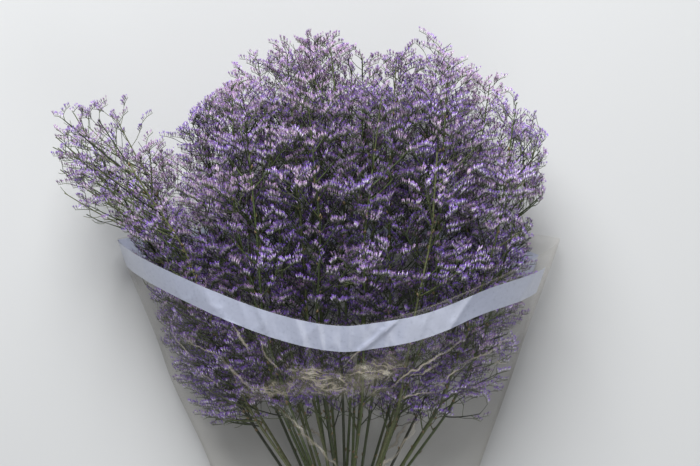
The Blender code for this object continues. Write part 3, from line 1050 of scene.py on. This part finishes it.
def crease(tree, place, start, end, width):
    """1 in the middle of the line from start to end, falling to 0 at its sides and its ends."""
    middle = ((start[0] + end[0]) / 2, (start[1] + end[1]) / 2, 0.0)
    turn = (0.0, 0.0, math.atan2(end[1] - start[1], end[0] - start[0]))
    size = (math.dist(start, end) / 2 + 0.004, width, 100.0)
    local = node(tree, "Mapping", Vector=place, Location=middle, Rotation=turn, Scale=size)
    local.vector_type = "TEXTURE"
    fall = node(tree, "TexGradient", Vector=local.outputs["Vector"])
    fall.gradient_type = "SPHERICAL"
    return fall.outputs["Fac"]


def film_haze(tree):
    """How milky the clear film is: a trace all over, sharp on creases, and cloudy where it is crumpled."""
    place = wavering(tree, 42.0, 0.019)
    sharp = 0.0
    for start, end, rise, width in FOLDS:
        sharp = combined(tree, "MAXIMUM", crease(tree, place, start, end, width * CREASE_SHARE), sharp)
    lines = ramp(tree, sharp, ((0.0, 0.012), (0.25, 0.10), (0.7, 0.42)))
    patch = 0.0
    for start, end, width in CRUMPLES:
        patch = combined(tree, "MAXIMUM", crease(tree, place, start, end, width), patch)
    patch = combined(tree, "MINIMUM", combined(tree, "MULTIPLY", patch, 1.9), 1.0)
    turned = node(tree, "Mapping", Vector=place, Rotation=(0.0, 0.0, -0.35), Scale=(0.34, 1.25, 0.2))
    cloud = node(tree, "TexNoise", Vector=turned.outputs["Vector"], Scale=62.0, Detail=4.0)
    crumpled = combined(tree, "MULTIPLY", patch, ramp(tree, cloud.outputs["Fac"], CRUMPLE_RIDGES))
    marked = combined(tree, "MAXIMUM", crumpled, lines)
    return combined(tree, "ADD", marked, combined(tree, "MULTIPLY", attribute(tree, "rim"), 0.20))


def clear_film():
    """Clear film, with milky creases: the milkiness is the film's own, its beige tint a painted reflection.
    """
    made, tree, shader = principled("clear film", 0.16)
    # Beige of the milky parts: a painted reflection of a warm cream colour; the film itself is clear
    shader.inputs["Base Color"].default_value = (0.60, 0.54, 0.43, 1.0)
    gloss = film_shader(tree, shader, film_haze(tree), 0.06)
    relief(tree, (shader, gloss), 45.0, 0.0022, 0.6, 5.0)
    return made


def white_band():
    """The printed band: almost opaque bluish white, thinner along the folds, with a faint speckle."""
    made, tree, shader = principled("white band", 0.30)
    stops = ((0.32, 0.46, 0.50, 0.63), (0.42, 0.52, 0.56, 0.70), (0.75, 0.56, 0.60, 0.74))
    tree.links.new(ramp(tree, noise(tree, 260.0, 5.0), stops), shader.inputs["Base Color"])
    cover = ramp(tree, attribute(tree, "fold"), ((0.25, 0.95), (0.8, 0.72)))
    gloss = film_shader(tree, shader, cover, 0.05)
    relief(tree, (shader, gloss), 30.0, 0.0015, 0.6, 5.0)
    return made


def band_drop(side):
    """How far the band's upper edge lies below the film's edge: more towards the right corner."""
    return 0.0012 + 0.006 * ease((side - 0.1) / 0.4) + 0.016 * ease((side - 0.62) / 0.38)


def film_side(column):
    """Where a column lies across the sleeve, from -1 to 1, and whether it is on the front."""
    if column < FRONT_COLUMNS:
        return -math.cos(math.pi * column / FRONT_COLUMNS), True
    return 1 - 2 * (column - FRONT_COLUMNS) / BACK_COLUMNS, False


def row_share(row, side, reach):
    """How far up the film a row lies at a side. The rows follow the band's edges."""
    lower, band, lip = FILM_ROWS
    top = 1 - band_drop(side) / reach
    low = top - BAND_HEIGHT / reach
    if row <= lower:
        return low * row / lower
    if row <= lower + band:
        return low + (top - low) * (row - lower) / band
    return top + (1 - top) * (row - lower - band) / lip


def fold_height(x, y):
    """How far the front film stands up at a point: the sharp folds, and fine ones that fan out."""
    height = 0.0
    for (x0, y0), (x1, y1), rise, width in FOLDS:
        dx, dy = x1 - x0, y1 - y0
        length = math.hypot(dx, dy)
        along = ((x - x0) * dx + (y - y0) * dy) / length**2
        away = abs((x - x0) * dy - (y - y0) * dx) / length
        window = ease(min(along + 0.15, 1.15 - along) / 0.3)
        wander = 1 + 0.5 * solid_noise.noise(Vector((x * 55, y * 55, rise * 900)))
        height += rise * window * wander * max(0.0, 1 - away / (width * wander)) ** 1.3
    bent = Vector((x, y)) - Vector(CRUMPLE_MIDDLE)
    bent.y += 0.10 * bent.x - 1.1 * bent.x**2
    crumple = max(0.0, 1 - (bent.x / CRUMPLE_SIZE[0]) ** 2 - (bent.y / CRUMPLE_SIZE[1]) ** 2)
    ridge = 1 - abs(solid_noise.noise(Vector((x * 45 + 4.0, y * 80 + x * 12, 1.3)))) * 2.4
    height += ease(crumple * 1.4) * (0.0022 + 0.0030 * max(0.0, ridge))
    angle = math.atan2(x, y - FOLD_CENTRE_Y)
    radius = math.hypot(x, y - FOLD_CENTRE_Y)
    fan = 1 - abs(solid_noise.noise(Vector((angle * 9, radius * 5, 3.1)))) * 3.2
    fine = 1 - abs(solid_noise.noise(Vector((x * 46, y * 30, 7.7)))) * 3.4
    return height + 0.0017 * max(0.0, fan) ** 2 + 0.0008 * max(0.0, fine) ** 2


def film_point(row, column):
    """A point of the film, with how sharply it is folded there and how near it is to a rim."""
    side, front = film_side(column)
    edge = front_edge(side) if front else back_edge(side)
    reach = edge - SLEEVE_FOOT_Y
    y = SLEEVE_FOOT_Y + reach * row_share(row, side, reach)
    x = side * (sleeve_half_width(y) + float(side_ease(side, y)))
    z = max(sleeve_top(side, y), BACK_LIFT) if front else BACK_LIFT
    fold = 0.0
    if front:
        fold = fold_height(x, y) * ease((1 - abs(side)) / 0.12)
        middle = 0.3 * sleeve_middle(y)
        outward = Vector((x, z - middle)).normalized()
        x += outward.x * fold * 0.6
        z += max(0.0, outward.y) * fold
    left = side < 0
    corner = ease((abs(side) - 0.5) / 0.5) * ease((y + 0.01) / 0.12)
    x += (-1 if left else 1) * CORNER_FLARES[0 if left else 1] * corner
    z += CORNER_LIFTS[0 if left else 1] * corner
    lip = ease((row - sum(FILM_ROWS) + 2) / 2) * (1.0 if front else 0.4)
    side_fold = ease((abs(side) - 0.97) / 0.03) * (0.6 if left else 1.0)
    return (x, y, z), min(1.0, fold / 0.0055), max(lip, side_fold)


def film_sleeve():
    """The creased film, with a plain pale band printed near its front edge."""
    columns = FRONT_COLUMNS + BACK_COLUMNS
    rows = sum(FILM_ROWS)
    grid = [film_point(row, column) for row in range(rows + 1) for column in range(columns)]
    faces = []
    slots = []
    for row in range(rows):
        for column in range(columns):
            beside = (column + 1) % columns
            low, high = row * columns, (row + 1) * columns
            faces.append((low + column, low + beside, high + beside, high + column))
            in_band = FILM_ROWS[0] <= row < FILM_ROWS[0] + FILM_ROWS[1]
            slots.append(1 if in_band and film_side(column)[0] < BAND_END else 0)
    points, folds, rims = zip(*grid)
    values = {"fold": folds, "rim": rims}
    mesh = new_mesh("sleeve_film", points, faces, slots, values, (clear_film(), white_band()))
    mesh.shade_smooth()
    made = new_object("sleeve_film", mesh)
    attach(made, "root")
    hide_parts("film_sleeve")


def band_loop(stems, angle):
    """Where the tie's outline runs round all stems at an angle, with the side that it faces."""
    facing = Vector((math.cos(angle), 0, math.sin(angle)))
    furthest = max((stem.point(TIE_Y) for stem in stems), key=facing.dot)
    return furthest + facing * (STEM_RADIUS + BAND_GAP + BAND_CORD), facing


def rubber_tie(stems):
    """A thin rubber band wound round the stems in three turns."""
    count = BAND_TURNS * BAND_STEPS
    centres = []
    for step in range(count + 1):
        turns = step / BAND_STEPS
        place, facing = band_loop(stems, math.tau * turns)
        shift = (turns / BAND_TURNS - 0.5) * (BAND_WIDTH - 2 * BAND_CORD)
        centres.append(np.array(place) + np.array((0, shift + 0.0004 * math.sin(5 * turns), 0)))
    centres = np.stack([smoothed(values, np.ones(5)) for values in np.array(centres).T], axis=1)
    growth = Growth()
    growth.tubes(centres[None], np.full((1, count + 1), BAND_CORD), 8, 0.5, caps=True)
    made = new_object("rubber_tie", growth.mesh("rubber_tie", (tie_rubber(),)))
    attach(made, "root")
    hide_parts("rubber_band")


def tie_rubber():
    """Tan rubber with a dusty, slightly uneven surface."""
    made, tree, shader = principled("tan rubber", 0.62)
    tones = ramp(tree, noise(tree, 300.0), ((0.3, 0.36, 0.20, 0.085), (0.7, 0.50, 0.31, 0.15)))
    tree.links.new(tones, shader.inputs["Base Color"])
    relief(tree, (shader,), 900.0, 0.0003, 0.3)
    return made


def floor():
    """A plain pale floor."""
    bpy.ops.mesh.primitive_plane_add(size=12, location=(0, 0, 0))
    plane = bpy.context.object
    plane.name = "floor"
    made, tree, shader = principled("pale floor", 0.9)
    shader.inputs["Base Color"].default_value = (0.56, 0.57, 0.575, 1.0)
    plane.data.materials.append(made)


def area_light(name, place, target, size, power):
    """A round white light that faces its target."""
    light = bpy.data.lights.new(name, "AREA")
    light.shape = "DISK"
    light.size = size
    light.energy = power
    made = new_object(name, light)
    made.location = place
    made.rotation_euler = (Vector(target) - Vector(place)).to_track_quat("-Z", "Y").to_euler()


def studio():
    """Soft light from beyond the flower heads, a weaker fill, and a pale surround."""
    area_light("key", (-0.35, 1.9, 1.9), (0, 0.1, 0.1), 1.8, KEY_POWER)
    area_light("fill", (0.8, -1.4, 1.5), (0, 0.1, 0.1), 1.6, FILL_POWER)
    world = bpy.data.worlds.new("studio")
    world.use_nodes = True
    surround = world.node_tree.nodes["Background"]
    surround.inputs["Color"].default_value = (0.93, 0.95, 1.0, 1.0)
    surround.inputs["Strength"].default_value = SURROUND
    bpy.context.scene.world = world
    bpy.context.scene.view_settings.view_transform = "Standard"


def camera():
    """Straight above the bunch. Its frame covers what the photograph's frame covers."""
    width = PHOTO_WIDTH * MM_PER_PIXEL / 1000
    x = (PHOTO_WIDTH / 2 - MIDDLE_PIXEL_X) * MM_PER_PIXEL / 1000
    y = (ZERO_PIXEL_Y - PHOTO_HEIGHT / 2) * MM_PER_PIXEL / 1000
    lens = bpy.data.cameras.new("camera")
    lens.sensor_width = SENSOR_WIDTH
    lens.lens = SENSOR_WIDTH * CAMERA_DISTANCE / width
    made = new_object("camera", lens)
    made.location = (x, y, BUNCH_MIDDLE_Z + CAMERA_DISTANCE)
    bpy.context.scene.camera = made


def main():
    """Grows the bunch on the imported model's skeleton, and adds its film, its tie and the studio."""
    rng = random.Random(SEED)
    stems = lay_out_stems(rng)
    grow_branches(stems, rng)
    draw = np.random.default_rng(FINE_SEED)
    materials = (stem_green(), papery_calyx(), petals(), dry_bract())
    sprays = [fine_spray(rank, stem, draw, materials).name for rank, stem in enumerate(stems, start=1)]
    film_sleeve()
    rubber_tie(stems)
    floor()
    studio()
    camera()


main()
